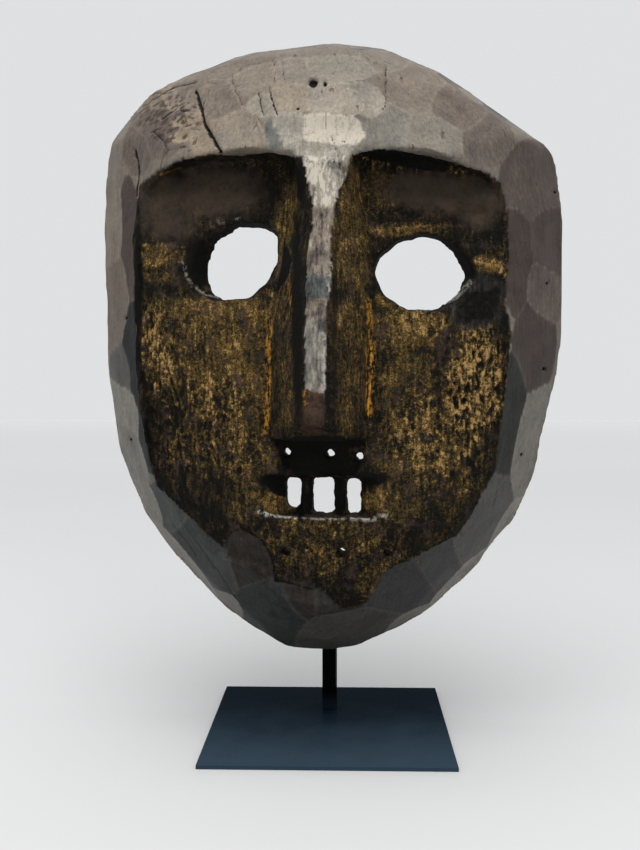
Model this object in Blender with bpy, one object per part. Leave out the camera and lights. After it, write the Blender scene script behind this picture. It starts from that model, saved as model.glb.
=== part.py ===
# A carved wooden face mask on a small steel stand.
# Metres, +Z up. The origin is the centre of the base plate's underside, and the mask looks along -Y.
# The mask's own frame has its origin on the back plane of the rim, level with the chin:
# u runs across to the viewer's right, y runs back, z runs up.

import math
import random

import bmesh
import bpy
import numpy as np
from mathutils import Matrix, Vector

# Driving dimensions
MM = 0.001
GAP = 0.3 * MM                  # left between pieces that touch

MASK_WIDTH = 201 * MM
MASK_HEIGHT = 258 * MM
NOSE_REACH = 78 * MM            # from the back plane of the rim to the tip of the nose
RIM_WIDTH = 14 * MM             # wood left around the hollow, at the back plane
FACE_WALL = 16 * MM             # wood between the middle of the face and the hollow
NOSE_BACK = 7.5 * MM            # flat back of the nose, where it is narrowest
EYE_FLARE = 8 * MM              # how far an eye's outer corner opens towards the front
TOOTH_WIDTH = 4.6 * MM
OUTER_SLOT = 6 * MM             # slots beside the teeth; the middle one takes the rest
TOOTH_THICKNESS = 9 * MM
LIP_SINK = 5.5 * MM             # recess under the nose, below the face
LACE_BORE = 4 * MM              # small holes over and under the mouth

BASE_SIDE = 100 * MM
BASE_THICKNESS = 1.5 * MM
POST_SIDE = 6 * MM
POST_SETBACK = 19.5 * MM        # post axis behind the middle of the plate
CHIN_HEIGHT = 32 * MM           # chin above the underside of the plate
MASK_TURN = math.radians(-5)    # the mask looks a little to the viewer's left
CROSSBAR_HEIGHT = 12 * MM
CROSSBAR_THICKNESS = 3 * MM
CROSSBAR_TOP = 40 * MM          # above the chin
CROSSBAR_OVERHANG = 4.5 * MM    # bar beyond each screw's axis
SCREW_SHANK = 3.5 * MM
SCREW_HEAD = 7 * MM
SCREW_HEAD_HEIGHT = 2.2 * MM
SCREW_REACH = 11 * MM           # shank in the wood
SCREW_CLEARANCE = 0.3 * MM      # around a screw's shank

# The carving keeps its proportions. It is laid out in millimetres on a mask of this size:
# across, up and from the back plane to the tip of the nose.
LAYOUT_WIDTH, LAYOUT_HEIGHT, LAYOUT_REACH = 201, 258, 78
MIDDLE = (0, 138)
OUTLINE_RIGHT = (
    (-4, -0.5), (11, 0.8), (26.2, 6.8), (47.6, 19.6), (65.8, 39), (80.7, 58.5), (88, 76), (93, 97),
    (97, 117), (99.5, 138), (100, 172), (100, 186), (97.7, 201), (95.2, 210.8), (86.6, 221.6),
    (72, 233.4), (45, 248), (31, 254), (17, 257), (0, 258))
OUTLINE_LEFT = (
    (-31, 258), (-60, 250.5), (-74.5, 244), (-83, 239), (-95.5, 223), (-98.5, 211), (-100.8, 183),
    (-100.5, 165), (-99, 122.6), (-94.2, 86.5), (-87.6, 69.4), (-73.6, 44.6), (-50.6, 20),
    (-35.6, 8.2), (-13, -0.2))

# Two domes, each as height against depth down its middle: the forehead, nose and jaw lie on the
# outer one, and the sunk face on the other. The powers say how full they stay towards the sides.
OUTER_SPINE = ((-0.5, 0), (5, 22), (20, 40), (40, 55), (70, 69), (100, 79), (205, 57.5), (216, 54.5),
               (227, 49.5), (237, 43), (245, 36), (251, 28.5), (255.5, 18), (258, 0))
FACE_SPINE = ((0, 12), (12, 33), (30, 46), (60, 51), (100, 50.5), (140, 49.5), (178, 45.5), (206, 41),
              (225, 33), (258, 8))
OUTER_POWER = 0.8
FACE_POWER = 0.42

# Adze cuts on the outer dome: rings of reach, count and shift, and rows of height and places
RIM_RINGS = ((0.955, 27, 0.0), (0.85, 21, 0.4))
FOREHEAD_ROWS = ((251, (-40, -12, 18)), (240, (-62, -30, 2, 34, 55)), (225, (-76, -36, -1, 36, 64)))
RIDGE_ROWS = ((150, (3,)),)
CHIN_ROWS = ((44, (-50, 60)), (30, (-30, 41)), (16, (-22, 24)), (21, (-5,)), (7, (8,)))
FACE_ROWS = ((196, (-58, -30, 30, 58)), (168, (-70, -38, -12, 14, 42, 72)),
             (128, (-72, -44, -16, 18, 46, 73)), (92, (-70, -42, -14, 16, 44, 68)),
             (52, (-46, -16, 18, 46)), (36, (-14, 16)))
ADZE_BITE = 1.2                 # how far a cut sinks below the dome
ADZE_SCATTER = 2.5              # how far it may miss its place
ADZE_SEED = 5

# Edges of the sunk face: brow from the nose outwards, then the side down to the jaw
BROW_LEFT = ((-27, 204.5), (-50, 203), (-68, 196.5))
BROW_RIGHT = ((44, 202.5), (63, 197), (71.5, 191.5))
SIDE_LEFT = ((-75, 189), (-75.5, 137), (-71, 108), (-68, 84))
SIDE_RIGHT = ((75.5, 170), (75.5, 151), (74.5, 116), (70, 84))
JAW = ((-69.5, 93.5), (-67, 74), (-56, 58), (-41, 46), (-24, 42), (-14, 30), (8, 27), (20, 29),
       (31, 37), (47, 44), (62, 55), (70, 72), (72, 93.5))
FACE_CUT = (-92, -76, -63, -50, -37, -24)    # depths of the face's cutters, front to back

# Nose, top to foot: height, middle of its back, widths of the back, creases left and right
NOSE_SECTIONS = ((202.5, 3.8, 2.8, -10.5, 17.5), (186, 5, 1.75, -11.5, 18.5), (172, 4.2, 1.1, -13, 21.5),
                 (146, 3.2, 1, -17, 22.8), (84, 2.6, 1.1, -18.8, 20))
NOSE_STEPS = 8                  # flats along each flank
NOSE_END = ((-80, 101.5), (-66, 95.3))    # slanted end of the nose, as depth and height
NOSE_END_THICKNESS = 20

# Each eye where it goes right through, and how far it opens outwards, up and down in front
EYE_LEFT = ((-43.5, 160), (-42, 167.5), (-38.5, 173), (-31, 177), (-21.5, 176.5), (-15.5, 172),
            (-15.5, 163), (-19.5, 155.5), (-26, 150.5), (-37, 149.5), (-42, 153))
EYE_RIGHT = ((57.5, 158), (54, 151), (45, 144.5), (35, 145), (26.3, 150), (22.3, 158.5), (24, 164),
             (31.5, 170), (40, 172.5), (46.5, 171.5), (53, 166))
EYE_FLARES = {"eye_left": 1.35, "eye_right": 1}
EYE_INNER_SHARE = 0.35          # how far the flare reaches towards the nose
EYE_RISE = 0.2                  # flare up and down, against the flare outwards
EYE_DEPTHS = (-60, -45, -29, 4)    # before the face, at its surface, where the flare starts, behind

MOUTH_FRONT = ((-24.5, 79.5), (27.4, 78.3), (27.4, 63), (-20.5, 62.6), (-23.5, 66))
MOUTH_BACK = ((-13, 78.4), (17.2, 77.6), (17.2, 62.6), (-12, 62.6), (-13, 65))
MOUTH_REACH = 51                # depth of the lips
SLOT_HEIGHTS = ((64.8, 77.4), (62.8, 77.6), (62.8, 77.2))
LIP_RECESS = ((-16.5, 92.8), (20, 92.8), (15.5, 78.6), (-10, 78.6))
UPPER_HOLES = ((-12, 88), (5.3, 87.4), (17, 86.3))
LOWER_HOLES = ((-12.3, 48.3), (10, 48.4), (28.2, 48.7))

HOLLOW_POWER = 2.6              # squareness of the hollow's section
HOLLOW_RINGS = 7

WOOD = (0.115, 0.082, 0.055)
STEEL = (0.018, 0.024, 0.030)
SCREW_STEEL = (0.055, 0.055, 0.055)


def remove_everything():
    for thing in list(bpy.data.objects):
        bpy.data.objects.remove(thing, do_unlink=True)


def new_collection(name):
    group = bpy.data.collections.new(name)
    bpy.context.scene.collection.children.link(group)
    return group


def finish(name, colour, roughness, metallic):
    material = bpy.data.materials.new(name)
    material.use_nodes = True
    material.diffuse_color = (*colour, 1)
    shader = material.node_tree.nodes["Principled BSDF"]
    shader.inputs["Base Color"].default_value = (*colour, 1)
    shader.inputs["Roughness"].default_value = roughness
    shader.inputs["Metallic"].default_value = metallic
    return material


def add_object(name, bm, group, parent, material=None):
    """A piece of the part, or without a material a cutter."""
    mesh = bpy.data.meshes.new(name)
    bm.to_mesh(mesh)
    bm.free()
    thing = bpy.data.objects.new(name, mesh)
    group.objects.link(thing)
    thing.parent = parent
    if material:
        mesh.materials.append(material)
    else:
        thing.hide_render = True
        thing.display_type = 'WIRE'
    return thing


def cut(target, cutter, operation='DIFFERENCE'):
    boolean = target.modifiers.new(cutter.name, 'BOOLEAN')
    boolean.operation = operation
    boolean.solver = 'EXACT'
    boolean.object = cutter


def block(low, high):
    """A box between two corners."""
    low, high = Vector(low), Vector(high)
    bm = bmesh.new()
    bmesh.ops.create_cube(bm, size=1)
    bmesh.ops.scale(bm, vec=high - low, verts=bm.verts)
    bmesh.ops.translate(bm, vec=(low + high) / 2, verts=bm.verts)
    return bm


def rod(radius, front, back, u, z, sides=16):
    """A round bar along y."""
    bm = bmesh.new()
    bmesh.ops.create_cone(bm, cap_ends=True, segments=sides, radius1=radius, radius2=radius,
                          depth=back - front)
    bmesh.ops.rotate(bm, matrix=Matrix.Rotation(math.pi / 2, 3, "X"), verts=bm.verts)
    bmesh.ops.translate(bm, vec=(u, (front + back) / 2, z), verts=bm.verts)
    return bm


def loft(sections):
    """A closed solid through rings that have the same number of points."""
    bm = bmesh.new()
    rings = [[bm.verts.new(point) for point in ring] for ring in sections]
    count = len(rings[0])
    for near, far in zip(rings, rings[1:]):
        for i in range(count):
            j = (i + 1) % count
            bm.faces.new((near[i], near[j], far[j], far[i]))
    bm.faces.new(rings[0])
    bm.faces.new(reversed(rings[-1]))
    bmesh.ops.recalc_face_normals(bm, faces=bm.faces)
    return bm


# From the layout's millimetres to the real mask

def across(u):
    return u * MASK_WIDTH / LAYOUT_WIDTH


def up(z):
    return z * MASK_HEIGHT / LAYOUT_HEIGHT


def deep(y):
    return y * NOSE_REACH / LAYOUT_REACH


def ring_at(points, y):
    """A flat ring of the layout's places at a real depth."""
    return [Vector((across(u), y, up(z))) for u, z in points]


# The domes that the mask is hewn to

def half_width(u, z):
    """From the middle plane to the outline on the side of u, in the layout's millimetres."""
    side = OUTLINE_RIGHT if u >= 0 else (OUTLINE_RIGHT[:1] + OUTLINE_LEFT[::-1] + OUTLINE_RIGHT[-1:])
    heights = [point[1] for point in side]
    widths = [abs(point[0]) for point in side]
    return max(float(np.interp(z, heights, widths)), 8)


def dome_depth(u, z, spine, power):
    heights, depths = zip(*spine)
    share = min(abs(u) / half_width(u, z), 0.995)
    return float(np.interp(z, heights, depths)) * (1 - share ** 2) ** power


def ring_places(reach, count, shift, scatter):
    """Places along the outline, drawn in towards the middle."""
    closed = np.array(OUTLINE_RIGHT + OUTLINE_LEFT + OUTLINE_RIGHT[:1], dtype=float)
    walk = np.concatenate(([0], np.cumsum(np.hypot(*np.diff(closed, axis=0).T))))
    places = []
    for i in range(count):
        share = (i + shift + scatter.uniform(-0.22, 0.22)) / count % 1
        u = np.interp(share * walk[-1], walk, closed[:, 0])
        z = np.interp(share * walk[-1], walk, closed[:, 1])
        places.append((MIDDLE[0] + (u - MIDDLE[0]) * reach, MIDDLE[1] + (z - MIDDLE[1]) * reach))
    return places


def row_places(rows, scatter):
    return [(u + scatter.uniform(-1, 1) * ADZE_SCATTER, z + scatter.uniform(-1, 1) * ADZE_SCATTER)
            for z, row in rows for u in row]


def hewn_slab(places, spine, power, back):
    """The outline as a thick slab, its front cut flat at each place along the dome's tangent."""
    bm = loft([ring_at(OUTLINE_RIGHT + OUTLINE_LEFT, y) for y in (deep(FACE_CUT[0]), back)])
    step = 4
    for u, z in places:
        rise_u = dome_depth(u + step, z, spine, power) - dome_depth(u - step, z, spine, power)
        rise_z = dome_depth(u, z + step, spine, power) - dome_depth(u, z - step, spine, power)
        normal = Vector((-deep(rise_u) / across(2 * step), -1, -deep(rise_z) / up(2 * step)))
        depth = deep(dome_depth(u, z, spine, power) - ADZE_BITE)
        result = bmesh.ops.bisect_plane(
            bm, geom=bm.verts[:] + bm.edges[:] + bm.faces[:], plane_co=(across(u), -depth, up(z)),
            plane_no=normal, clear_outer=True)
        edges = [item for item in result["geom_cut"] if isinstance(item, bmesh.types.BMEdge)]
        if edges:
            bmesh.ops.edgenet_fill(bm, edges=edges)
    bmesh.ops.remove_doubles(bm, verts=bm.verts, dist=0.02 * MM)
    bmesh.ops.recalc_face_normals(bm, faces=bm.faces)
    return bm


# Cutters for the carving

def nose_side(side, y):
    """Where one flank of the nose passes at a depth, top to foot, in the layout's millimetres."""
    heights, middles, widths, lefts, rights = zip(*reversed(NOSE_SECTIONS))
    creases = lefts if side < 0 else rights
    places = []
    for z in np.linspace(heights[-1], heights[0], NOSE_STEPS + 1):
        back_u = np.interp(z, heights, middles) + side * np.interp(z, heights, widths) * NOSE_BACK / across(2)
        crease_u = np.interp(z, heights, creases)
        back = dome_depth(back_u, z, OUTER_SPINE, OUTER_POWER) - ADZE_BITE
        crease = dome_depth(crease_u, z, FACE_SPINE, FACE_POWER) - ADZE_BITE
        flank = (crease_u - back_u) / (back - crease)
        places.append((float(crease_u + flank * (y + crease)), float(z)))
    return places


def face_cutter(cutters, mask, face):
    """All that is cut away round the nose and below it, down to the face's own dome."""
    sunk = add_object("sunk_face", loft([ring_at(JAW, deep(y)) for y in (FACE_CUT[0], FACE_CUT[-1])]),
                      cutters, mask)
    for name, side, brow, border in (("flank_left", -1, BROW_LEFT, SIDE_LEFT),
                                     ("flank_right", 1, BROW_RIGHT, SIDE_RIGHT)):
        rings = [ring_at(brow + border + tuple(reversed(nose_side(side, y))), deep(y)) for y in FACE_CUT]
        cut(sunk, add_object(name, loft(rings), cutters, mask), 'UNION')
    cut(sunk, face)
    return sunk


def nose_end_cutter():
    """A slab below the slanted end of the nose."""
    (front, high), (back, low) = NOSE_END
    slope = Vector((0, deep(back - front), up(low - high)))
    drop = Vector((0, slope.z, -slope.y)).normalized() * deep(NOSE_END_THICKNESS)
    tip = Vector((0, deep(front), up(high))) - slope
    heel = Vector((0, deep(back), up(low)))
    corners = (tip, heel, heel + drop, tip + drop)
    width = Vector((across(LAYOUT_WIDTH / 4), 0, 0))
    return loft([[corner + width * side for corner in corners] for side in (-1, 1)])


def eye_cutter(eye, share):
    """Straight through the wall, with the outer corner flared towards the front."""
    us, zs = zip(*eye)
    middle, height = (max(us) + min(us)) / 2, (max(zs) + min(zs)) / 2
    reach = max(us, key=abs) - middle
    front, face, waist, back = EYE_DEPTHS
    rings = []
    for y in (front, waist, back):
        flare = share * EYE_FLARE / across(1) * max(0, (waist - y) / (waist - face))
        ring = []
        for u, z in eye:
            outward = max(0, (u - middle) / reach + EYE_INNER_SHARE) / (1 + EYE_INNER_SHARE)
            ring.append((u + math.copysign(flare * outward, reach),
                         z + flare * EYE_RISE * (z - height) / (max(zs) - height)))
        rings.append(ring_at(ring, deep(y)))
    return loft(rings)


def mouth_cutter(teeth):
    """The open mouth in front of the teeth, narrowing to them."""
    lips = -deep(MOUTH_REACH)
    narrow = ring_at(MOUTH_BACK, teeth)
    wide = ring_at(MOUTH_FRONT, lips)
    front = [lip + (lip - tooth) for lip, tooth in zip(wide, narrow)]
    return loft([front, narrow])


def slot_cutters(teeth):
    """Three slots through the wall, with the teeth between them."""
    left, right = across(MOUTH_BACK[0][0]), across(MOUTH_BACK[1][0])
    first, last = left + OUTER_SLOT, right - OUTER_SLOT
    spans = ((left, first), (first + TOOTH_WIDTH, last - TOOTH_WIDTH), (last, right))
    for (start, end), (low, high) in zip(spans, SLOT_HEIGHTS):
        yield block((start, teeth - MM, up(low)), (end, GAP, up(high)))


def lip_cutter():
    """The recess between the nose and the mouth."""
    floor = LIP_SINK - deep(MOUTH_REACH)
    return loft([ring_at(LIP_RECESS, -deep(LAYOUT_REACH)), ring_at(LIP_RECESS, floor)])


# The hollow behind the face

def hollow_scale():
    """How much the outline shrinks to leave the rim."""
    return 1 - 2 * RIM_WIDTH / MASK_WIDTH, 1 - 2 * RIM_WIDTH / MASK_HEIGHT


def hollow_depth(share):
    """Depth of the hollow at a share of the way from its middle to its edge."""
    deepest = deep(max(depth for height, depth in FACE_SPINE)) - FACE_WALL
    return deepest * (1 - share ** HOLLOW_POWER) ** (1 / HOLLOW_POWER)


def hollow_cutter():
    shrink_u, shrink_z = hollow_scale()
    rings = []
    for i in range(-1, HOLLOW_RINGS):
        share = math.cos(math.pi / 2 * max(i, 0) / (HOLLOW_RINGS - 0.4))
        y = -hollow_depth(share) if i >= 0 else MM
        ring = [(MIDDLE[0] + (u - MIDDLE[0]) * share * shrink_u,
                 MIDDLE[1] + (z - MIDDLE[1]) * share * shrink_z)
                for u, z in OUTLINE_RIGHT + OUTLINE_LEFT]
        rings.append(ring_at(ring, y))
    return loft(rings)


def rim_middle(side, z):
    """Middle of the rim's back face at a real height, measured across."""
    shrink_u, shrink_z = hollow_scale()
    height = z / up(1)
    behind = MIDDLE[1] + (height - MIDDLE[1]) / shrink_z
    outer, inner = half_width(side, height), half_width(side, behind) * shrink_u
    return side * across((outer + inner) / 2)


# The pieces

def build_mask(parts, cutters, parent, wood):
    scatter = random.Random(ADZE_SEED)
    outer = [place for ring in RIM_RINGS for place in ring_places(*ring, scatter)]
    outer += row_places(FOREHEAD_ROWS + RIDGE_ROWS + CHIN_ROWS, scatter)
    mask = add_object("mask", hewn_slab(outer, OUTER_SPINE, OUTER_POWER, 0), parts, parent, wood)
    mask.location = (0, -(POST_SIDE / 2 + GAP + CROSSBAR_THICKNESS + GAP), CHIN_HEIGHT)

    inner = row_places(FACE_ROWS, scatter)
    face = add_object("face", hewn_slab(inner, FACE_SPINE, FACE_POWER, MM), cutters, mask)
    cut(mask, face_cutter(cutters, mask, face))

    mouth_share = (MIDDLE[1] - SLOT_HEIGHTS[1][0]) / MIDDLE[1] / hollow_scale()[1]
    teeth = -hollow_depth(mouth_share) - TOOTH_THICKNESS
    shapes = {"nose_end": nose_end_cutter(), "lip_recess": lip_cutter(), "hollow": hollow_cutter(),
              "mouth": mouth_cutter(teeth)}
    for name, eye in (("eye_left", EYE_LEFT), ("eye_right", EYE_RIGHT)):
        shapes[name] = eye_cutter(eye, EYE_FLARES[name])
    for i, shape in enumerate(slot_cutters(teeth)):
        shapes[f"slot_{i + 1}"] = shape
    for i, (u, z) in enumerate(UPPER_HOLES + LOWER_HOLES):
        shapes[f"lace_{i + 1}"] = rod(LACE_BORE / 2, -deep(LAYOUT_REACH), MM, across(u), up(z), 12)
    for side, name in ((-1, "left"), (1, "right")):
        shapes[f"pilot_{name}"] = rod(SCREW_SHANK / 2 + SCREW_CLEARANCE, -SCREW_REACH - GAP, MM,
                                      screw_place(side), screw_height())
    for name, shape in shapes.items():
        cut(mask, add_object(name, shape, cutters, mask))
    return mask


def screw_height():
    return CROSSBAR_TOP - CROSSBAR_HEIGHT / 2


def screw_place(side):
    return rim_middle(side, screw_height())


def build_base(parts, steel):
    half = BASE_SIDE / 2
    plate = block((-half, -half, 0), (half, half, BASE_THICKNESS))
    return add_object("stand_base", plate, parts, None, steel)


def build_post(parts, parent, steel):
    half = POST_SIDE / 2
    bar = block((-half, -half, BASE_THICKNESS + GAP), (half, half, CHIN_HEIGHT + CROSSBAR_TOP))
    return add_object("stand_post", bar, parts, parent, steel)


def build_crossbar(parts, cutters, parent, steel):
    """A flat bar across the back of the jaw, between the rim and the post."""
    left, right = screw_place(-1) - CROSSBAR_OVERHANG, screw_place(1) + CROSSBAR_OVERHANG
    bar = block((left, -CROSSBAR_THICKNESS / 2, -CROSSBAR_HEIGHT / 2),
                (right, CROSSBAR_THICKNESS / 2, CROSSBAR_HEIGHT / 2))
    crossbar = add_object("stand_crossbar", bar, parts, parent, steel)
    crossbar.location = (0, -(POST_SIDE / 2 + GAP + CROSSBAR_THICKNESS / 2), CHIN_HEIGHT + screw_height())
    for side, name in ((-1, "left"), (1, "right")):
        bore = rod(SCREW_SHANK / 2 + SCREW_CLEARANCE, -CROSSBAR_THICKNESS, CROSSBAR_THICKNESS,
                   screw_place(side), 0)
        cut(crossbar, add_object(f"crossbar_bore_{name}", bore, cutters, crossbar))
    return crossbar


def build_screw(side, name, parts, mask, steel):
    """A round-headed wood screw, from behind the crossbar into the rim."""
    head = 2 * GAP + CROSSBAR_THICKNESS
    steps = ((-SCREW_REACH, SCREW_SHANK * 0.3), (-SCREW_REACH + SCREW_SHANK, SCREW_SHANK / 2),
             (head, SCREW_SHANK / 2), (head, SCREW_HEAD / 2),
             (head + SCREW_HEAD_HEIGHT * 0.5, SCREW_HEAD / 2), (head + SCREW_HEAD_HEIGHT, SCREW_HEAD * 0.3))
    sides = 16
    rings = [[(radius * math.cos(2 * math.pi * i / sides), y, radius * math.sin(2 * math.pi * i / sides))
              for i in range(sides)] for y, radius in steps]
    screw = add_object(f"screw_{name}", loft(rings), parts, mask, steel)
    screw.location = (screw_place(side), 0, screw_height())
    return screw


def build():
    remove_everything()
    parts, cutters = new_collection("mask_on_stand"), new_collection("cutters")
    wood = finish("old_wood", WOOD, 0.6, 0)
    steel = finish("black_steel", STEEL, 0.45, 0.6)
    bright = finish("screw_steel", SCREW_STEEL, 0.4, 0.9)

    upright = bpy.data.objects.new("upright", None)
    parts.objects.link(upright)
    upright.location = (0, POST_SETBACK, 0)
    upright.rotation_euler = (0, 0, MASK_TURN)

    build_base(parts, steel)
    build_post(parts, upright, steel)
    build_crossbar(parts, cutters, upright, steel)
    mask = build_mask(parts, cutters, upright, wood)
    for side, name in ((-1, "left"), (1, "right")):
        build_screw(side, name, parts, mask, bright)


build()
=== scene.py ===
# A carved wooden face mask on its small steel stand: the looks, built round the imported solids.

import math
import random

import bmesh
import bpy
import numpy as np
from mathutils import Matrix, Vector, noise
from mathutils.bvhtree import BVHTree


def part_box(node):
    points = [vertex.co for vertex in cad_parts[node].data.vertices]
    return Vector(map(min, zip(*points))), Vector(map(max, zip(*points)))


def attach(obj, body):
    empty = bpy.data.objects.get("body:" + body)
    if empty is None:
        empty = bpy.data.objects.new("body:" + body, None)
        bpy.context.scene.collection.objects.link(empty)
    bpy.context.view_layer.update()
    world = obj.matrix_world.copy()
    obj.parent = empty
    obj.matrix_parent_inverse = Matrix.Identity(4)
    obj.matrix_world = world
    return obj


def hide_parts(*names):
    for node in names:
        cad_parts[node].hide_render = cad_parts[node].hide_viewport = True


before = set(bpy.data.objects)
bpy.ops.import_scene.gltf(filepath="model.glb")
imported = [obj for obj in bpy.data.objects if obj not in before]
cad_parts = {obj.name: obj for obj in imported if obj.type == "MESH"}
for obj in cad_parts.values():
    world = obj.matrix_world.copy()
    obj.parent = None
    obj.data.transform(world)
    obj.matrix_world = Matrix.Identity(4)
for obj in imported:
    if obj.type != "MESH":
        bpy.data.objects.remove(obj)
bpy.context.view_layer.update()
mm = 0.001

# The camera, worked out from the plate's corners and the post. Focal length and shifts are photo pixels.
shot = {
    "place": (0.0071, -0.4209, 0.1457),
    "photo": (640, 850),
    "focal": 991,
    "down": 38.3,                   # horizon above the middle of the photo
    "aside": 25.8,
}


def makeCamera():
    camera = bpy.data.objects.new("camera", bpy.data.cameras.new("camera"))
    bpy.context.scene.collection.objects.link(camera)
    camera.data.sensor_width = 36
    camera.data.lens = 36 * shot["focal"] / max(shot["photo"])
    camera.data.clip_start = 0.01
    camera.location = shot["place"]
    camera.rotation_euler = (math.pi / 2 - math.atan(shot["down"] / shot["focal"]), 0,
                             math.atan(shot["aside"] / shot["focal"]))
    bpy.context.scene.camera = camera
    bpy.context.view_layer.update()
    return camera


camera = makeCamera()
print("camera in place")


# Shader maths

class Wire:
    # a shader socket that can be used in an expression; each operator adds a Math node
    def __init__(self, finish, socket):
        self.finish = finish
        self.socket = socket

    def maths(self, operation, *others):
        return self.finish.add("ShaderNodeMath", {"operation": operation}, *others)

    def __add__(self, other):
        return self.maths("ADD", self, other)

    def __radd__(self, other):
        return self.maths("ADD", other, self)

    def __sub__(self, other):
        return self.maths("SUBTRACT", self, other)

    def __rsub__(self, other):
        return self.maths("SUBTRACT", other, self)

    def __mul__(self, other):
        return self.maths("MULTIPLY", self, other)

    def __rmul__(self, other):
        return self.maths("MULTIPLY", other, self)

    def __truediv__(self, other):
        return self.maths("DIVIDE", self, other)

    def __rtruediv__(self, other):
        return self.maths("DIVIDE", other, self)


class Finish:
    # a material under construction, with one method that adds any node
    def __init__(self, name, **constants):
        self.material = bpy.data.materials.new(name)
        self.material.use_nodes = True
        self.nodes = self.material.node_tree.nodes
        self.links = self.material.node_tree.links
        self.shader = self.nodes["Principled BSDF"]
        for socket, value in constants.items():
            self.shader.inputs[socket.replace("_", " ")].default_value = value

    def plug(self, socket, value):
        if isinstance(value, Wire):
            self.links.new(value.socket, socket)
        else:
            socket.default_value = value

    def add(self, kind, settings=None, *values, out=0, **named):
        node = self.nodes.new(kind)
        for key, value in (settings or {}).items():
            if key == "stops":
                ramp = node.color_ramp.elements
                while len(ramp) < len(value):
                    ramp.new(1)
                for element, (place, colour) in zip(ramp, value):
                    element.position = place
                    element.color = (*colour, 1)
            else:
                setattr(node, key, value)
        for i, value in enumerate(values):
            self.plug(node.inputs[i], value)
        for name, value in named.items():
            self.plug(node.inputs[name.replace("_", " ")], value)
        return Wire(self, node.outputs[out])

    def place(self, stretch=(1, 1, 1), turn=(0, 0, 0)):
        spot = self.add("ShaderNodeTexCoord", None, out="Object")
        return self.add("ShaderNodeMapping", None, Vector=spot, Scale=stretch, Rotation=turn)

    def grainOf(self, scale, detail=4, rough=0.6, stretch=(1, 1, 1), turn=(0, 0, 0), warp=0):
        return self.add("ShaderNodeTexNoise", None, Vector=self.place(stretch, turn), Scale=scale,
                        Detail=detail, Roughness=rough, Distortion=warp)

    def held(self, name):
        return self.add("ShaderNodeAttribute", {"attribute_name": name}, out="Fac")

    def step(self, value, low, high):
        return self.add("ShaderNodeMapRange", {"interpolation_type": "SMOOTHSTEP"}, Value=value,
                        From_Min=low, From_Max=high)

    def mix(self, share, first, second, how="MIX"):
        node = self.nodes.new("ShaderNodeMix")
        node.data_type, node.blend_type = "RGBA", how
        for socket, value in zip((node.inputs[0], node.inputs[6], node.inputs[7]), (share, first, second)):
            self.plug(socket, (*value, 1) if isinstance(value, tuple) else value)
        return Wire(self, node.outputs[2])

    def ramp(self, value, *stops):
        return self.add("ShaderNodeValToRGB", {"stops": stops}, value)

    def bump(self, height, depth, strength=1.0, before=None):
        named = {"Height": height, "Distance": depth, "Strength": strength}
        if before:
            named["Normal"] = before
        return self.add("ShaderNodeBump", None, **named)

    def finished(self, **wires):
        for socket, value in wires.items():
            self.plug(self.shader.inputs[socket.replace("_", " ")], value)
        return self.material


# The mask's own frame: across to the viewer's right, up from the chin, and out to the front

maskFrame = {"turn": math.radians(-5), "chin": 32 * mm, "postBack": 19.5 * mm, "behind": 6.6 * mm}


def maskMatrix():
    post = Matrix.Translation((0, maskFrame["postBack"], 0))
    return post @ Matrix.Rotation(maskFrame["turn"], 4, "Z") @ Matrix.Translation(
        (0, -maskFrame["behind"], maskFrame["chin"]))


def smooth(values, low, high):
    share = np.clip((values - low) / (high - low), 0, 1)
    return share * share * (3 - 2 * share)


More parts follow.
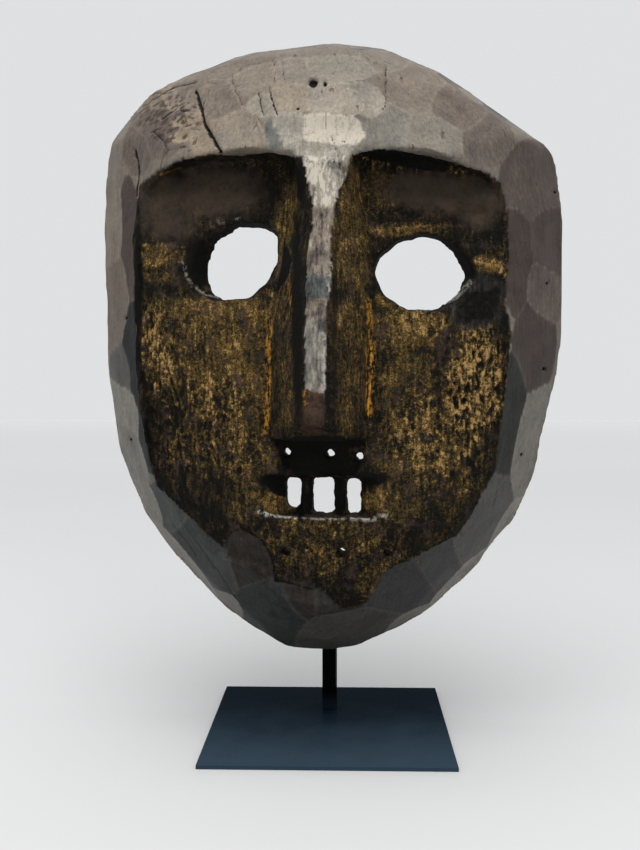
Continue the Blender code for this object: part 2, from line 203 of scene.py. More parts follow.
class Carving:
    # a mesh as arrays, pushed in and out along its normals
    def __init__(self, mesh):
        self.mesh = mesh
        self.edges = np.zeros(len(mesh.edges) * 2, dtype=np.int32)
        mesh.edges.foreach_get("vertices", self.edges)
        self.edges = self.edges.reshape(-1, 2)
        self.count = len(mesh.vertices)
        self.valence = np.bincount(self.edges.ravel(), minlength=self.count)[:, None]
        self.wander = None              # noise that makes lines and patches ragged
        self.wavy = None                # and outlines
        self.read()

    def read(self):
        flat = np.zeros(self.count * 3, dtype=np.float32)
        self.mesh.vertices.foreach_get("co", flat)
        self.places = flat.reshape(-1, 3).astype(float)
        self.mesh.vertex_normals.foreach_get("vector", flat)
        self.normals = flat.reshape(-1, 3).astype(float)
        own = self.places @ np.array(maskMatrix().inverted().to_3x3()).T
        own += np.array(maskMatrix().inverted().translation)
        self.across, self.up, self.out = own[:, 0] / mm, own[:, 2] / mm, -own[:, 1] / mm
        seen = (self.places - np.array(camera.location)) @ np.array(camera.matrix_world.to_3x3())
        self.photoX = shot["photo"][0] / 2 - shot["focal"] * seen[:, 0] / seen[:, 2]
        self.photoY = shot["photo"][1] / 2 + shot["focal"] * seen[:, 1] / seen[:, 2]
        ray = self.places - np.array(camera.location)
        self.facing = -(self.normals * ray).sum(1) / np.linalg.norm(ray, axis=1)

    def write(self):
        self.mesh.vertices.foreach_set("co", self.places.astype(np.float32).ravel())
        self.mesh.update()
        self.read()

    def push(self, amount):
        # amount in millimetres, outwards
        self.places = self.places + self.normals * (amount * mm)[:, None]
        self.write()

    def spread(self, values, rounds):
        # the average of the neighbours, again and again
        values = values.reshape(self.count, -1).astype(float)
        first, second = self.edges.T
        for _ in range(rounds):
            total = np.stack([np.bincount(first, values[second, i], self.count)
                              + np.bincount(second, values[first, i], self.count)
                              for i in range(values.shape[1])], axis=1)
            values = total / self.valence
        return values.squeeze()

    def soften(self, weight, rounds, steps=(0.6, -0.63)):
        # smooths in and out by turns, so that the form doesn't shrink
        for _ in range(rounds):
            for step in steps:
                self.places += step * (self.spread(self.places, 1) - self.places) * weight[:, None]
        self.write()

    def noisy(self, sizes, detail=4, kind="fractal", shift=0.0):
        # noise with features of these sizes in millimetres, across, up and out
        own = np.stack([self.across / sizes[0] + shift, self.up / sizes[1], self.out / sizes[2]], axis=1)
        if kind == "ridged":
            return np.array([noise.ridged_multi_fractal(Vector(p), 0.9, 2, detail, 1, 2) for p in own])
        return np.array([noise.fractal(Vector(p), 0.8, 2, detail) for p in own])

    def keep(self, name, values):
        layer = self.mesh.attributes.new(name, "FLOAT", "POINT")
        layer.data.foreach_set("value", np.clip(values, 0, 1).astype(np.float32))


def oval(carving, x, y, reachX, reachY, turn=0.0):
    # distance from a place in the photo, 1 on the oval's rim; turn in degrees, clockwise
    turn = math.radians(turn)
    alongX = (carving.photoX - x) * math.cos(turn) + (carving.photoY - y) * math.sin(turn)
    alongY = (carving.photoY - y) * math.cos(turn) - (carving.photoX - x) * math.sin(turn)
    return np.hypot(alongX / reachX, alongY / reachY)


def strokeGap(carving, line, shift=0):
    # distance in photo pixels from a line of places
    best = np.full(carving.count, 1e9)
    for (x0, y0), (x1, y1) in zip(line, line[1:]):
        reach = math.hypot(x1 - x0, y1 - y0)
        offX, offY = carving.photoX + shift - x0, carving.photoY - y0
        share = np.clip((offX * (x1 - x0) + offY * (y1 - y0)) / reach ** 2, 0, 1)
        gap = np.hypot(offX - share * (x1 - x0), offY - share * (y1 - y0))
        best = np.minimum(best, gap)
    return best


# The mask. Places are photo pixels; depths are millimetres.

mask = {
    "voxel": 1.3 * mm,
    "mergeGap": 0.01 * mm,
    "keepShare": 0.60,              # of the even mesh, once the hollow is thinned
    "hullGap": (1.2, 3.2),          # from the hewn outside to the carved face
    "hollowGap": (2.5, 4.5),        # and to the hollow
    "hollowFacing": 0.02,           # the hollow looks away from the camera
    "faceOut": 20,                  # the sunk face lies this far in front of the back plane
    "inView": 0.05,                 # how squarely a place has to face the camera to be seen at all
    "squarely": 0.3,                # and to show fine detail
    "wavySize": (5, 5, 5),
    "wanderSize": (3.2, 4.4, 4),
    "lineRag": 0.7,                 # how much the cracks and gouges vary in width
    "slotRag": 0.5,
    "calmFrom": (0.55, 0.95),       # the share of hewn outside round a place before it is smoothed
    "backward": (0.5, 0.8),         # the rim's back keeps its form
    "edgeFacing": (0.08, 0.2),      # what the camera sees edge on
    "blurRounds": 10,
    "softRounds": 50,
    "rimRounds": 12,
    "edgeRounds": 5,
    "swell": 0.45,                  # the facets are cut from a slightly larger body
    "facetReach": 1.25,             # how far each facet runs under its neighbours
    "seenFrom": (0.03, 0.16),       # how squarely a place faces the camera before its photo facets count
    "rimWidth": 0.16,               # an edge is where two facets cut this nearly as deep
    "plain": (0.34, 0.7),           # tone and warmth between the facets
    "mouthKept": (322, 490, 84, 84),
    "mouthFine": (322, 478, 66, 50),
    "slotEdge": (322, 496, 46, 26),
    "faceEdge": (
        (140, 186), (161, 169), (182, 160), (207, 154), (240, 156), (268, 152), (290, 156), (347, 156),
        (375, 149), (402, 151), (432, 157), (462, 165), (487, 173), (501, 184), (508, 215), (509, 262),
        (505, 300), (511, 335), (507, 372), (503, 412), (495, 470), (469, 520), (458, 535), (417, 556),
        (385, 572), (367, 603), (343, 609), (323, 592), (304, 581), (275, 583), (274, 564), (260, 537),
        (233, 531), (222, 548), (184, 512), (157, 486), (147, 450), (140, 413), (135, 360), (135, 300),
        (132, 240)),
    # the worn back of the nose, from the forehead down
    "noseBack": (
        (299, 150), (352, 150), (347, 172), (340, 188), (334, 206), (331, 235), (330, 262), (329, 292),
        (325, 330), (325, 372), (324, 394), (324, 428), (303, 428), (304, 395), (305, 350), (306, 300),
        (307, 262), (312, 228), (313, 205), (307, 178), (303, 162)),
    # adze facets: x, y, half width, half height, turn, bite, tone (dark to light, each facet's brightness,
    # which holds painted highlight and reflection: the bright facet above the nose and the pale strips along
    # the jaw's edge are painted light), warmth (slate to brown)
    "facets": (
        (288, 128, 18, 15, 0, 1.45, 0.72, 0.35), (331, 130, 33, 14, 5, 1.5, 0.98, 0.45),
        (316, 151, 38, 10, 0, 1.15, 0.74, 0.35), (241, 131, 35, 24, 8, 1.2, 0.54, 0.75),
        (388, 130, 26, 26, 0, 1.25, 0.50, 0.45), (430, 137, 30, 22, 12, 1.2, 0.48, 0.6),
        (290, 97, 22, 15, 0, 1.1, 0.58, 0.8), (334, 99, 34, 14, 4, 1.1, 0.64, 0.55),
        (272, 133, 11, 16, -38, 1.2, 0.40, 0.2), (260, 103, 14, 15, 0, 1.2, 0.62, 0.55),
        (374, 105, 12, 16, 0, 1.1, 0.66, 0.5), (337, 69, 36, 11, 0, 1.0, 0.52, 0.6),
        (296, 73, 20, 12, 0, 0.9, 0.48, 0.7), (359, 91, 14, 7, 0, 1.0, 0.58, 0.5),
        (252, 84, 22, 24, 12, 1.1, 0.49, 0.85), (220, 103, 22, 21, 0, 1.1, 0.41, 0.9),
        (203, 132, 13, 24, -10, 1.2, 0.52, 1.0), (410, 88, 32, 24, 22, 1.1, 0.43, 0.9),
        (388, 62, 24, 12, 14, 0.9, 0.44, 0.75), (242, 64, 32, 11, -20, 0.9, 0.40, 0.9),
        (180, 92, 30, 18, -30, 1.0, 0.40, 0.9), (455, 110, 34, 16, 32, 1.0, 0.36, 0.9),
        (486, 140, 24, 22, 34, 1.0, 0.32, 0.85), (158, 132, 22, 24, -30, 1.0, 0.32, 0.9),
        (531, 182, 27, 34, -4, 1.3, 0.23, 0.95), (549, 240, 16, 33, -6, 1.2, 0.18, 0.95),
        (544, 293, 16, 28, -6, 1.2, 0.29, 0.85), (533, 347, 18, 45, 4, 1.1, 0.16, 0.95),
        (511, 415, 13, 62, 8, 1.2, 0.07, 0.3), (530, 440, 17, 52, 10, 1.1, 0.51, 0.4),
        (517, 255, 13, 52, 0, 1.0, 0.15, 1.0), (117, 300, 11, 44, 3, 1.0, 0.38, 0.95),
        (113, 225, 10, 40, -2, 1.0, 0.48, 0.8), (137, 358, 11, 47, -6, 1.2, 0.03, 0.0),
        (122, 372, 9, 24, -6, 1.0, 0.26, 0.5), (126, 408, 10, 30, -16, 1.1, 0.57, 0.35),
        (134, 455, 9, 34, -16, 1.2, 0.52, 0.35), (147, 440, 7, 28, -10, 1.0, 0.06, 0.1),
        (129, 240, 9, 52, 0, 0.9, 0.15, 1.0), (149, 500, 7, 26, -30, 1.25, 0.55, 0.3),
        (185, 562, 7, 48, -39, 1.25, 0.56, 0.25), (231, 608, 9, 18, -44, 1.2, 0.50, 0.35),
        (171, 510, 14, 26, -34, 1.2, 0.19, 0.0), (203, 548, 17, 46, -38, 1.2, 0.12, 0.15),
        (250, 556, 25, 29, 0, 1.0, 0.03, 0.75), (270, 613, 34, 32, 12, 1.2, 0.06, 0.0),
        (298, 600, 24, 20, 0, 1.0, 0.05, 0.7), (336, 599, 30, 17, 0, 1.0, 0.06, 0.4),
        (352, 627, 52, 17, -9, 1.2, 0.17, 0.4),
        (398, 582, 38, 30, -30, 1.2, 0.10, 0.2), (437, 560, 26, 28, -38, 1.2, 0.14, 0.2),
        (480, 522, 18, 52, 28, 1.2, 0.25, 0.3), (505, 530, 9, 32, 28, 1.25, 0.60, 0.3),
        (462, 579, 9, 44, 44, 1.3, 0.60, 0.25), (408, 621, 8, 30, 62, 1.2, 0.48, 0.35),
        (322, 182, 18, 24, 0, 0.3, 0.74, 0.4), (321, 228, 12, 24, 0, 0.3, 0.56, 0.8),
        (318, 262, 11, 14, 0, 0.3, 0.42, 0.75), (317, 286, 11, 12, 0, 0.35, 0.24, 0.1),
        (316, 308, 10, 10, 0, 0.3, 0.42, 0.9), (315, 355, 10, 38, 0, 0.3, 0.46, 0.45),
        (312, 412, 13, 20, 0, 0.3, 0.0, 1.0), (181, 123, 13, 5, -8, 1.25, 0.62, 1.0),
        (179, 137, 14, 6, -6, 1.25, 0.60, 1.0), (150, 97, 17, 12, -40, 1.15, 0.46, 1.0),
        (172, 97, 12, 15, -20, 1.2, 0.50, 0.95), (192, 99, 10, 16, -10, 1.2, 0.44, 0.9),
        (138, 150, 12, 22, 0, 1.1, 0.31, 0.95)),
    # facets scattered where the photo doesn't look; lengths in millimetres
    "hidden": {"count": 190, "reach": (9, 15), "thick": 9, "bite": (0.7, 1.1), "tone": (0.15, 0.5),
               "warmth": (0.4, 0.95), "outside": 0.9, "facing": 0.22, "backward": 0.6},
    # cracks down the grain: a line, its half width in photo pixels and its depth
    "cracks": (
        (((195, 91), (201, 108), (203, 122), (212, 137), (221, 153)), 1.2, 1.5),
        (((231, 74), (235, 90), (242, 105)), 0.6, 0.7), (((258, 92), (260, 104), (263, 115)), 0.7, 0.8),
        (((269, 88), (272, 100), (277, 114)), 0.9, 1.0), (((273, 60), (275, 72), (274, 82)), 0.6, 0.7),
        (((281, 56), (285, 80)), 0.5, 0.6), (((252, 111), (259, 121), (266, 133)), 0.5, 0.6),
        (((255, 122), (261, 138), (263, 150)), 0.5, 0.5), (((387, 64), (386, 88), (386, 106)), 0.6, 0.8),
        (((366, 104), (366, 118)), 0.6, 0.6), (((359, 108), (360, 118)), 0.5, 0.5),
        (((332, 136), (337, 152), (341, 170)), 0.7, 0.7), (((423, 133), (427, 150)), 0.4, 0.5),
        (((404, 130), (407, 148)), 0.4, 0.5), (((434, 76), (452, 92)), 0.5, 0.5),
        (((300, 136), (299, 148)), 0.4, 0.4), (((318, 138), (316, 168)), 0.5, 0.4),
        (((240, 527), (262, 541), (272, 560), (276, 582), (288, 583), (312, 590)), 0.8, 0.9),
        (((278, 608), (296, 616), (313, 624)), 0.5, 0.4), (((271, 615), (288, 624), (303, 632)), 0.5, 0.4),
        (((181, 522), (205, 556), (236, 596)), 0.4, 0.4), (((172, 524), (196, 556)), 0.4, 0.4),
        (((186, 510), (204, 533), (222, 546)), 0.5, 0.5), (((306, 262), (332, 260)), 0.5, 0.4),
        (((306, 275), (331, 274)), 0.5, 0.5), (((306, 300), (329, 303)), 0.5, 0.4)),
    "notches": (
        (((153, 98), (172, 86), (196, 81)), 0.8, 0.7), (((161, 118), (176, 109), (189, 111)), 0.8, 0.8),
        (((170, 130), (186, 124)), 0.8, 0.6), (((152, 130), (162, 140), (166, 150)), 0.8, 0.7),
        (((207, 83), (216, 84)), 0.5, 0.5), (((344, 87), (358, 87)), 0.4, 0.4),
        (((134, 150), (139, 172), (137, 196)), 1.0, 0.8), (((247, 64), (262, 63)), 0.5, 0.4)),
    # weathered patches: place, half sizes, turn, depth
    "rough": ((168, 118, 34, 40, -30, 1.1), (150, 100, 40, 12, -40, 0.8), (206, 128, 12, 24, -12, 0.4),
              (297, 98, 22, 14, 0, 0.3), (405, 156, 60, 9, 10, 0.8), (130, 250, 10, 100, 0, 0.5),
              (126, 420, 12, 40, -10, 0.45), (316, 330, 14, 90, 0, 0.6), (312, 412, 13, 18, 0, 0.9)),
    # knot hole and old nail holes: x, y, radius in photo pixels, depth
    "pits": ((313, 82, 4.4, 2.2), (325, 84, 2.0, 1.2), (298, 108, 1.6, 0.9), (556, 192, 1.5, 1.2),
             (549, 283, 1.6, 1.4), (545, 369, 1.7, 1.4), (523, 455, 1.6, 1.2), (129, 440, 1.5, 1.2),
             (126, 318, 1.6, 1.0)),
}


def remeshed(node, name, voxel):
    # the solid's own form with an even mesh
    source = bpy.data.objects.new(name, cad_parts[node].data.copy())
    bpy.context.scene.collection.objects.link(source)
    source.data.materials.clear()
    bm = bmesh.new()
    bm.from_mesh(source.data)
    bmesh.ops.remove_doubles(bm, verts=bm.verts, dist=mask["mergeGap"])
    bm.to_mesh(source.data)
    bm.free()
    remesh = source.modifiers.new("remesh", "REMESH")
    remesh.mode = "VOXEL"
    remesh.voxel_size = voxel
    remesh.use_smooth_shade = True
    applied(source)
    return source


def applied(piece):
    # its mesh as the modifiers leave it
    made = bpy.data.meshes.new_from_object(piece.evaluated_get(bpy.context.evaluated_depsgraph_get()))
    piece.modifiers.clear()
    piece.data = made


def thinned(piece, where, share):
    # fewer faces where the surface is plain
    group = piece.vertex_groups.new(name="plain")
    group.add([int(i) for i in np.flatnonzero(where)], 1.0, "REPLACE")
    thin = piece.modifiers.new("thin", "DECIMATE")
    thin.ratio, thin.vertex_group = share, "plain"
    thin.vertex_group_factor = 1000
    applied(piece)
    piece.vertex_groups.clear()


def refined(piece, near):
    # halves each edge whose two ends are marked
    bm = bmesh.new()
    bm.from_mesh(piece.data)
    edges = [edge for edge in bm.edges if near[edge.verts[0].index] and near[edge.verts[1].index]]
    bmesh.ops.subdivide_edges(bm, edges=edges, cuts=1, use_grid_fill=True)
    bm.to_mesh(piece.data)
    bm.free()
    print("refined to", len(piece.data.loops) - 2 * len(piece.data.polygons), "triangles")
    return Carving(piece.data)


def hullGap(carving):
    # how far each place lies inside the hull of the whole mask, in millimetres
    bm = bmesh.new()
    bm.from_mesh(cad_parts["mask"].data)
    hull = bmesh.ops.convex_hull(bm, input=bm.verts)
    bmesh.ops.delete(bm, geom=[item for item in hull["geom_interior"] + hull["geom_unused"]
                               if isinstance(item, bmesh.types.BMVert)], context="VERTS")
    tree = BVHTree.FromBMesh(bm)
    bm.free()
    return np.array([tree.find_nearest(Vector(place))[3] for place in carving.places]) / mm


def inside(carving, edge):
    # which places lie within an outline drawn on the photo
    carving.wavy = carving.noisy(mask["wavySize"], 2) if carving.wavy is None else carving.wavy
    found = np.zeros(carving.count, dtype=bool)
    for (x0, y0), (x1, y1) in zip(edge, edge[1:] + edge[:1]):
        if y0 != y1:
            crossing = x0 + (carving.photoY - y0) * (x1 - x0) / (y1 - y0)
            found ^= ((carving.photoY > min(y0, y1)) & (carving.photoY <= max(y0, y1))
                      & (carving.photoX + carving.wavy < crossing))
    return found


def regions(carving):
    gap = hullGap(carving)
    outside = 1 - smooth(gap, *mask["hullGap"])
    front = (carving.facing > 0.0) & (carving.out > mask["faceOut"]) & inside(carving, mask["faceEdge"])
    ridge = inside(carving, mask["noseBack"]) & (carving.facing > mask["squarely"])
    face = np.where(front & ~ridge, 1.0, 0.0)
    hollow = (1 - face) * smooth(gap, *mask["hollowGap"]) * (carving.facing < mask["hollowFacing"])
    return {"outside": outside, "face": face, "hollow": hollow,
            "worn": (1 - face) * (1 - hollow), "ridge": ridge * front}


def hewn(carving, outside):
    # the facets of the photo, and scattered ones where the photo doesn't look
    random.seed(4)
    seen = smooth(carving.spread(carving.facing, 4), *mask["seenFrom"])
    bites, second = np.zeros(carving.count), np.zeros(carving.count)
    tone, warmth = (np.full(carving.count, value) for value in mask["plain"])

    def cut(depth, light, warm):
        deeper = depth > bites
        second[:] = np.where(deeper, bites, np.maximum(second, depth))
        bites[:] = np.maximum(bites, depth)
        tone[:], warmth[:] = np.where(deeper, light, tone), np.where(deeper, warm, warmth)

    for x, y, reachX, reachY, turn, bite, light, warm in mask["facets"]:
        share = oval(carving, x, y, reachX * mask["facetReach"], reachY * mask["facetReach"], turn)
        cut(bite * (1 - share ** 2) * seen, light, warm)
    hidden = mask["hidden"]
    places = np.flatnonzero((outside > hidden["outside"]) & (carving.facing < hidden["facing"])
                            & (carving.normals[:, 1] < hidden["backward"]))
    for pick in random.sample(range(len(places)), hidden["count"]):
        centre = places[pick]
        off = (carving.places - carving.places[centre]) / mm
        rise = off @ carving.normals[centre]
        flat = np.sqrt(np.maximum((off ** 2).sum(1) - rise ** 2, 0))
        reach = random.uniform(*hidden["reach"])
        depth = random.uniform(*hidden["bite"]) * (1 - (flat / reach) ** 2 - (rise / hidden["thick"]) ** 2)
        cut(depth * (1 - seen), random.uniform(*hidden["tone"]), random.uniform(*hidden["warmth"]))
    rim = 1 - smooth(bites - second, 0.0, mask["rimWidth"])
    return bites * outside, tone, warmth, rim * outside


def scratched(carving, lines):
    # how deep a set of lines cuts, with crisp middles
    depth = np.zeros(carving.count)
    for line, half, deep in lines:
        width = 2 * half * (1 + mask["lineRag"] * carving.wander)
        depth = np.maximum(depth, deep * np.clip(1 - strokeGap(carving, line, carving.wander) / width, 0, 1))
    return depth * (carving.facing > mask["inView"])


def pitted(carving):
    depth, dark = np.zeros(carving.count), np.zeros(carving.count)
    for x, y, radius, deep in mask["pits"]:
        share = oval(carving, x, y, radius, radius) + 0.2 * carving.wander
        depth = np.maximum(depth, deep * (1 - smooth(share, 0.6, 1.3)))
        dark = np.maximum(dark, 1 - smooth(share, 0.7, 1.3))
    return depth * (carving.facing > 0), dark * (carving.facing > 0)


# The carved face: gouge strokes, bark-like fibre, the colours of earth and soot, and painted shade in its
# creases and openings

face = {
    # raised fibres: line, half width in photo pixels, height
    "fibres": (
        (((158, 345), (166, 372), (177, 405)), 1.2, 0.7), (((165, 345), (174, 378), (183, 408)), 1.3, 0.8),
        (((180, 350), (180, 392)), 1.0, 0.6), (((189, 362), (190, 404)), 1.1, 0.7),
        (((207, 345), (211, 392), (215, 447)), 1.2, 0.7), (((235, 393), (236, 442)), 0.9, 0.5),
        (((196, 330), (199, 360)), 0.8, 0.4), (((152, 332), (155, 362), (164, 384)), 1.4, 0.7),
        (((154, 385), (171, 412)), 0.6, 0.4), (((166, 414), (181, 436)), 0.6, 0.4),
        (((475, 264), (490, 267), (506, 270)), 2.0, 0.9), (((444, 320), (440, 332), (428, 342)), 1.2, 0.6),
        (((139, 245), (160, 246), (186, 247)), 1.6, 0.7), (((139, 263), (155, 266), (167, 261)), 1.2, 0.5),
        (((372, 231), (420, 226), (466, 226)), 1.4, 0.5), (((186, 368), (205, 367), (236, 365)), 0.6, 0.3),
        (((482, 424), (492, 416), (502, 406)), 1.6, 0.6)),
    # gouges: line, half width, depth
    "gouges": (
        (((161, 345), (170, 376), (180, 408)), 1.2, 0.9), (((173, 348), (181, 384), (186, 404)), 1.3, 1.0),
        (((203, 345), (208, 400)), 1.1, 0.7), (((216, 360), (222, 420)), 1.2, 0.6),
        (((152, 370), (168, 412), (186, 446)), 1.2, 0.8), (((410, 352), (421, 349)), 1.2, 0.9),
        (((462, 300), (478, 284), (492, 268)), 0.8, 0.5), (((456, 312), (478, 292), (496, 276)), 0.8, 0.5),
        (((470, 318), (486, 300), (500, 286)), 0.8, 0.5), (((140, 250), (141, 300), (146, 336)), 1.4, 0.9),
        (((147, 262), (151, 300), (160, 340)), 1.0, 0.6), (((265, 290), (266, 360), (263, 428)), 1.4, 0.6),
        (((372, 300), (371, 360), (367, 420)), 1.4, 0.6), (((374, 208), (430, 211), (486, 212)), 1.4, 0.8),
        (((196, 228), (214, 218), (240, 215)), 0.9, 0.4), (((435, 388), (450, 396), (470, 402)), 1.4, 1.0),
        (((484, 350), (487, 370), (483, 392)), 1.2, 0.8), (((290, 585), (322, 612)), 0.7, 0.4)),
    # bark-like relief: place, half sizes, turn, height
    "bark": ((478, 380, 34, 66, 8, 1.5), (154, 350, 20, 52, -8, 0.9), (440, 440, 60, 56, 0, 0.8),
             (200, 440, 62, 70, 0, 0.7), (410, 163, 66, 11, 10, 1.3), (325, 545, 90, 40, 0, 0.45),
             (440, 310, 60, 30, 0, 0.5), (170, 470, 30, 50, -20, 0.6), (504, 330, 8, 110, 0, 0.9)),
    "scales": ((218, 186, 34, 30, 0, 0.8), (262, 186, 26, 30, 0, 0.7), (170, 196, 26, 30, 0, 0.7),
               (420, 186, 46, 24, 4, 0.8), (474, 196, 24, 22, 10, 0.6), (246, 330, 30, 30, 0, 0.5),
               (405, 335, 26, 34, 0, 0.5), (250, 420, 22, 40, 0, 0.4), (330, 545, 40, 22, 0, 0.5)),
    # how much earth colour there is: place, half sizes, turn, strength
    "earth": ((232, 322, 62, 38, 0, 0.82), (228, 375, 60, 62, 0, 0.62), (160, 350, 30, 50, -8, 0.48),
              (160, 256, 32, 14, 0, 0.6), (163, 278, 20, 8, 0, 0.55), (208, 309, 60, 18, 0, 0.85),
              (284, 250, 10, 60, 0, 0.6),
              (288, 208, 14, 34, 10, 0.66), (352, 250, 22, 60, -4, 0.66), (352, 195, 14, 36, 0, 0.75),
              (400, 230, 40, 8, 0, 0.65), (350, 350, 22, 90, 0, 0.62), (400, 325, 46, 30, 0, 0.78),
              (405, 385, 34, 50, 0, 0.58), (474, 380, 36, 56, 8, 0.72), (415, 445, 46, 50, 0, 0.62),
              (452, 450, 30, 60, 0, 0.5), (250, 450, 24, 46, 0, 0.50), (244, 502, 22, 22, 0, 0.40),
              (330, 540, 70, 34, 0, 0.38), (280, 500, 20, 16, 0, 1.0), (374, 500, 14, 14, 0, 0.9),
              (486, 265, 20, 9, 10, 0.8), (285, 380, 12, 60, 0, 0.46), (398, 500, 30, 30, 0, 0.55),
              (372, 580, 16, 24, 30, 0.6), (195, 460, 40, 50, 0, 0.14), (180, 212, 26, 8, -10, 0.6),
              (266, 458, 16, 18, 0, 0.7), (384, 458, 14, 16, 0, 0.6), (378, 190, 26, 30, 0, 0.42)),
    # dark patches: charred and sooted wood, and painted shade under the brows and the nose, beside the nose,
    # in the mouth slots and along the steps at the edges of the sunk face
    "charAndShade": ((225, 178, 74, 20, 2, 0.45), (268, 200, 20, 30, 0, 0.5), (430, 182, 56, 22, 6, 0.4),
             (408, 160, 58, 8, 10, 0.9), (480, 306, 28, 22, -30, 0.75), (318, 443, 52, 8, 0, 1.0),
             (318, 462, 40, 20, 0, 1.0), (325, 494, 26, 22, 0, 1.0), (180, 500, 30, 50, -36, 0.45),
             (180, 430, 34, 40, 0, 0.42), (335, 330, 4, 100, 0, 0.55), (297, 320, 6, 120, 0, 0.75),
             (138, 300, 5, 120, 0, 0.8), (150, 440, 12, 60, -8, 0.5), (470, 480, 30, 46, 30, 0.4),
             (372, 479, 24, 8, 0, 0.8), (272, 480, 20, 7, 0, 0.8), (505, 360, 6, 80, 0, 0.6),
             (302, 180, 6, 26, 0, 0.9), (330, 596, 40, 14, 0, 0.5), (279, 487, 17, 9, 32, 1.0),
             (204, 492, 34, 46, -24, 0.52), (300, 498, 6, 24, 0, 0.9), (340, 498, 6, 20, 0, 0.9),
             (152, 320, 10, 40, 0, 0.4), (262, 220, 16, 34, 0, 0.4), (388, 420, 14, 40, 0, 0.35),
             (197, 262, 14, 30, 0, 0.85), (468, 272, 10, 24, 0, 0.7)),
    # the dark panels above the eyes: dark brown wood with painted shade under the brow
    "panels": ((218, 192, 50, 26, 0, 1.0), (168, 208, 34, 34, 0, 0.9), (430, 192, 50, 22, 4, 1.0),
               (478, 205, 26, 26, 0, 0.8)),
    "scratchy": ((478, 304, 30, 28, -20, 1.0),),
    # amber lines in the creases beside the nose
    "amber": ((((269, 322), (269, 370), (266, 430)), 2.6, 0.6), (((369, 300), (371, 350)), 2.6, 0.5),
              (((370, 350), (369, 414)), 3.2, 0.9), (((374, 350), (375, 390)), 1.2, 0.6),
              (((288, 282), (292, 310)), 1.4, 0.4), (((306, 393), (305, 402)), 2.0, 0.7),
              (((157, 176), (181, 168)), 1.0, 0.3)),
    "rust": ((((314, 398), (312, 428)), 10, 0.75), (((340, 152), (341, 172)), 1.5, 0.6),
             (((352, 168), (354, 186)), 3.5, 0.6), (((331, 300), (326, 330)), 2.0, 0.5)),
    # edges that catch light: line, half width, strength
    "edges": ((((182, 262), (190, 283), (206, 295), (220, 298)), 0.6, 0.6),
              (((258, 511), (274, 516), (296, 518)), 1.1, 1.0),
              (((302, 518), (330, 519), (346, 518)), 0.7, 0.6),
              (((350, 518), (370, 519), (385, 516)), 1.0, 0.7), (((347, 160), (346, 176)), 0.8, 0.5),
              (((470, 282), (456, 297), (430, 308), (418, 309)), 2.0, 0.5),
              (((331, 262), (329, 292)), 1.0, 0.8), (((325, 335), (324, 392)), 0.7, 0.6),
              (((212, 226), (224, 220), (240, 218)), 0.7, 0.3)),
    "holes": ((238, 262, 48, 40, 0), (418, 272, 52, 38, 0)),
    # sizes of the noises across, up and out in millimetres
    "barkSize": (2.0, 4.6, 5),
    "crumbSize": (1.2, 2.2, 3),
    "swellSize": (6, 11, 9),
    # and their heights
    "barkRise": 0.45,
    "barkCrumb": 0.22,
    "swell": 0.12,
    "crumb": 0.13,
}

# grain and weathering of the outside
weather = {"grainSize": (1.4, 9, 4), "lumpSize": (4, 6, 5), "splitSize": (5, 1.9, 4), "grain": 0.06,
           "lump": 0.05, "split": 0.4}


def painted(carving, name, rag=0.28):
    # soft patches of colour with ragged edges; where they overlap, the strongest counts
    found = np.zeros(carving.count)
    for x, y, reachX, reachY, turn, strength in face[name]:
        share = oval(carving, x, y, reachX, reachY, turn) + rag * carving.wander
        found = np.maximum(found, strength * (1 - smooth(share, 0.55, 1.25)))
    return found


def lined(carving, name):
    found = np.zeros(carving.count)
    for line, half, strength in face[name]:
        gap = strokeGap(carving, line) + 0.6 * carving.wander
        found = np.maximum(found, strength * (1 - smooth(gap, half * 0.5, half * 1.5)))
    return found


def patched(carving, patches, rag=0.2):
    # relief zones, each with its own height
    found = np.zeros(carving.count)
    for x, y, reachX, reachY, turn, rise in patches:
        share = oval(carving, x, y, reachX, reachY, turn) + rag * carving.wander
        found = np.maximum(found, rise * (1 - smooth(share, 0.6, 1.2)))
    return found


def faceRelief(carving, area):
    # everything that the gouge and time left on the sunk face
    fibres, gouges = scratched(carving, face["fibres"]), scratched(carving, face["gouges"])
    bark = carving.noisy(face["barkSize"], 4, "ridged") - 1.0
    crumbs = carving.noisy(face["crumbSize"], 3, shift=7.3)
    barked = patched(carving, face["bark"])
    height = face["swell"] * carving.noisy(face["swellSize"], 4, shift=3.1) + face["crumb"] * crumbs
    height += barked * (face["barkRise"] * bark + face["barkCrumb"] * crumbs)
    scoops = np.zeros(carving.count)
    for x, y, reachX, reachY, turn, bite in face["scales"]:
        scoops = np.maximum(scoops, bite * (1 - oval(carving, x, y, reachX, reachY, turn) ** 2))
    raised = np.clip(0.5 + np.minimum(barked, 1) * (face["barkRise"] * bark + 0.3 * crumbs), 0, 1)
    return (height + fibres - gouges - scoops) * area, fibres, gouges, raised, np.clip(barked, 0, 1)


def wornRelief(carving, area):
    # the height, and how much dirt the splits hold
    grain = weather["grain"] * carving.noisy(weather["grainSize"], 4, shift=1.7)
    grain = grain + weather["lump"] * carving.noisy(weather["lumpSize"], 3, shift=5.2)
    split = carving.noisy(weather["splitSize"], 4, "ridged", shift=2.4) - 1.2
    rough = patched(carving, mask["rough"])
    return (grain + weather["split"] * rough * split) * area, np.clip(rough * (0.5 - 0.6 * split), 0, 1)


# gouge marks in the hollow, in millimetres
hollowMarks = {"count": 260, "long": (11, 17), "wide": (4, 6.5), "thick": 16, "bite": (0.35, 0.7),
               "noise": 0.05}


